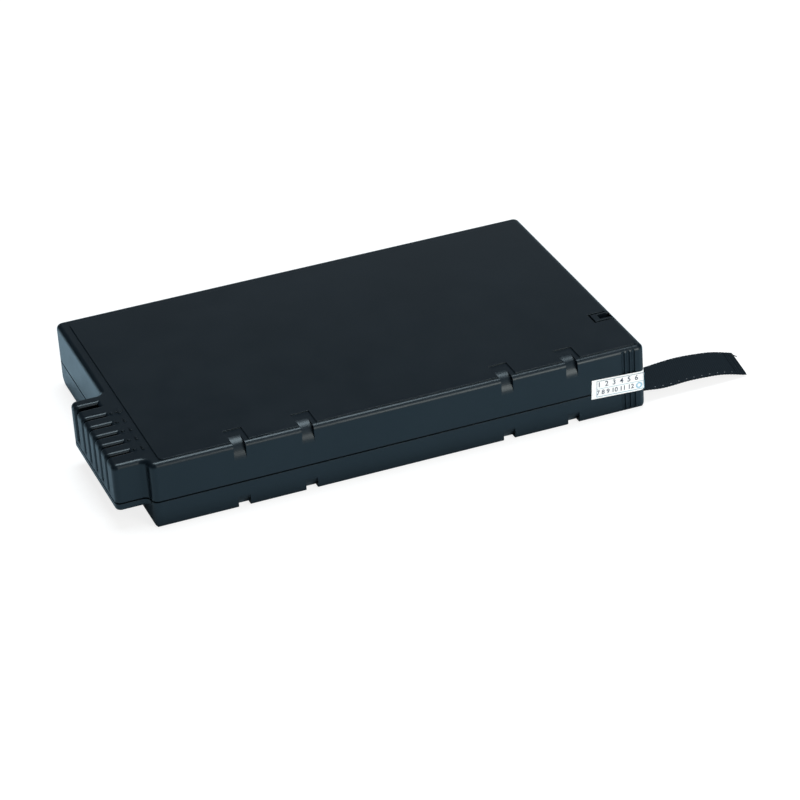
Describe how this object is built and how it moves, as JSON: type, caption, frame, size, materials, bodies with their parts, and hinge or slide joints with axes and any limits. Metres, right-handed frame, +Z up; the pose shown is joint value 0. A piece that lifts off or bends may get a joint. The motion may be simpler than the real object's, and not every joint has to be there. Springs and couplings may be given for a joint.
{
  "type": "monitor battery pack",
  "caption": "Flat slab battery pack in a dark two-shell case, with a slotted contact block on one end, latch notches along the front edge and a woven pull tape",
  "frame": {"origin": "middle of the main body's flat underside, without the contact block and the pull tape", "axes": "+X along the pack towards the pull tape, +Y towards the back edge, +Z up through the roof"},
  "size_m": [0.1819, 0.0887, 0.0193],
  "materials": {
    "case_plastic": "satin moulded, dark blue grey",
    "sticker_paper": "smooth white with pale blue print",
    "tape_weave": "black woven tape",
    "cell_sleeve": "shrunk plastic sleeve on a steel can",
    "ring_fibre": "pressed fibre",
    "nickel": "rolled nickel strip",
    "board_laminate": "glass laminate with green coat",
    "chip_plastic": "moulded black resin",
    "board_ceramic": "fired body with tinned ends",
    "contact_metal": "gilt spring sheet",
    "carrier_plastic": "moulded black",
    "series_wire": "yellow insulated wire",
    "tap_wire": "white insulated wire",
    "black_wire": "black insulated wire",
    "bead_resin": "dipped resin",
    "insulating_paper": "grey insulating paper",
    "grey_foam": "closed cell foam"
  },
  "bodies": {
    "root": {"upper_shell": "case_plastic", "lower_shell": "case_plastic", "label_sticker": "sticker_paper", "pull_tab": "tape_weave", "cell_1": "cell_sleeve", "cell_2": "cell_sleeve", "cell_3": "cell_sleeve", "cell_4": "cell_sleeve", "cell_5": "cell_sleeve", "cell_6": "cell_sleeve", "cell_7": "cell_sleeve", "cell_8": "cell_sleeve", "cell_9": "cell_sleeve", "end_ring_1": "ring_fibre", "end_ring_2": "ring_fibre", "end_ring_3": "ring_fibre", "end_ring_4": "ring_fibre", "end_ring_5": "ring_fibre", "end_ring_6": "ring_fibre", "end_ring_7": "ring_fibre", "end_ring_8": "ring_fibre", "end_ring_9": "ring_fibre", "strap_positive": "nickel", "strap_first_series": "nickel", "strap_second_series": "nickel", "strap_middle": "nickel", "strap_negative_left": "nickel", "strap_negative_right": "nickel", "control_board": "board_laminate", "gauge_chip": "chip_plastic", "guard_chip": "chip_plastic", "power_switch_1": "chip_plastic", "power_switch_2": "chip_plastic", "sense_resistor": "board_ceramic", "board_fuse": "board_ceramic", "contact_1": "contact_metal", "contact_2": "contact_metal", "contact_3": "contact_metal", "contact_4": "contact_metal", "contact_5": "contact_metal", "contact_carrier": "carrier_plastic", "series_lead": "series_wire", "tap_lead": "tap_wire", "negative_lead": "black_wire", "thermistor_lead": "black_wire", "thermistor": "bead_resin", "insulator_sheet": "insulating_paper", "foam_pad": "grey_foam"}
  },
  "joints": []
}
